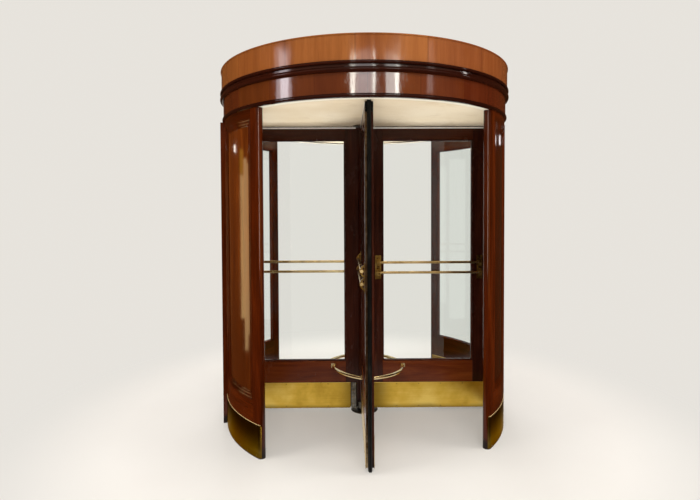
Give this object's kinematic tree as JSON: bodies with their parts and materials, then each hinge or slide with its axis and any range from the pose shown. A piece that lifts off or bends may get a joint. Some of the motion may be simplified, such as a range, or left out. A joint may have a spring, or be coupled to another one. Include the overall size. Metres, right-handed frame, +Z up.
{
  "type": "revolving door",
  "caption": "Round timber revolving door: a panelled and glazed drum with a moulded header, and glazed wings with brass push bars and kick plates on a centre post.",
  "frame": {"origin": "on the turning axis of the wings, at floor level", "axes": "+Z up along the turning axis, -Y toward the lobby that the picture is taken from, +Y toward the street, +X to the right seen from the lobby"},
  "size_m": [2.1447, 2.1448, 2.56],
  "materials": {
    "wall_mahogany": "glossy varnish",
    "dark_mahogany": "glossy dark varnish",
    "frieze_mahogany": "glossy varnish",
    "wing_mahogany": "satin varnish, worn",
    "flat_glass": "clear polished",
    "curved_glass": "clear polished, bent to the drum's curve",
    "brass_plate": "aged, spotted and scuffed",
    "polished_brass": "polished by hands",
    "aged_steel": "dull and worn",
    "black_rubber": "matte",
    "cream_paint": "cream eggshell paint",
    "plain_board": "unfinished board"
  },
  "bodies": {
    "drum": {"lobby_wall_left": "wall_mahogany", "lobby_wall_right": "wall_mahogany", "panel_mouldings": "dark_mahogany", "nose_posts": "wall_mahogany", "side_posts": "wall_mahogany", "street_rails": "wall_mahogany", "street_glass": "curved_glass", "street_glazing_beads": "wall_mahogany", "outer_kick_plates": "brass_plate", "inner_kick_plates": "brass_plate", "header_bead": "dark_mahogany", "lower_frieze": "frieze_mahogany", "middle_moulding": "dark_mahogany", "upper_frieze": "frieze_mahogany", "ceiling": "cream_paint", "roof_deck": "plain_board", "top_bearing": "aged_steel", "floor_pivot": "aged_steel"},
    "rotor": {"centre_post": "wing_mahogany", "post_foot": "aged_steel", "braces": "polished_brass", "hinge_straps": "aged_steel", "wing_glazing_beads": "wing_mahogany", "lobby_wing_stiles": "wing_mahogany", "lobby_wing_rails": "wing_mahogany", "lobby_wing_glass": "flat_glass", "lobby_wing_kick_plates": "brass_plate", "lobby_wing_push_bars": "polished_brass", "lobby_wing_bar_brackets": "polished_brass", "lobby_wing_sweeps": "black_rubber", "right_wing_stiles": "wing_mahogany", "right_wing_rails": "wing_mahogany", "right_wing_glass": "flat_glass", "right_wing_kick_plates": "brass_plate", "right_wing_push_bars": "polished_brass", "right_wing_bar_brackets": "polished_brass", "right_wing_sweeps": "black_rubber", "street_wing_stiles": "wing_mahogany", "street_wing_rails": "wing_mahogany", "street_wing_glass": "flat_glass", "street_wing_kick_plates": "brass_plate", "street_wing_push_bars": "polished_brass", "street_wing_bar_brackets": "polished_brass", "street_wing_sweeps": "black_rubber", "left_wing_stiles": "wing_mahogany", "left_wing_rails": "wing_mahogany", "left_wing_glass": "flat_glass", "left_wing_kick_plates": "brass_plate", "left_wing_push_bars": "polished_brass", "left_wing_bar_brackets": "polished_brass", "left_wing_sweeps": "black_rubber"}
  },
  "joints": [
    {"name": "rotor_spin", "type": "hinge", "parent": "drum", "child": "rotor", "pos_m": [0, 0, 0], "axis": [0, 0, 1], "continuous": true}
  ]
}
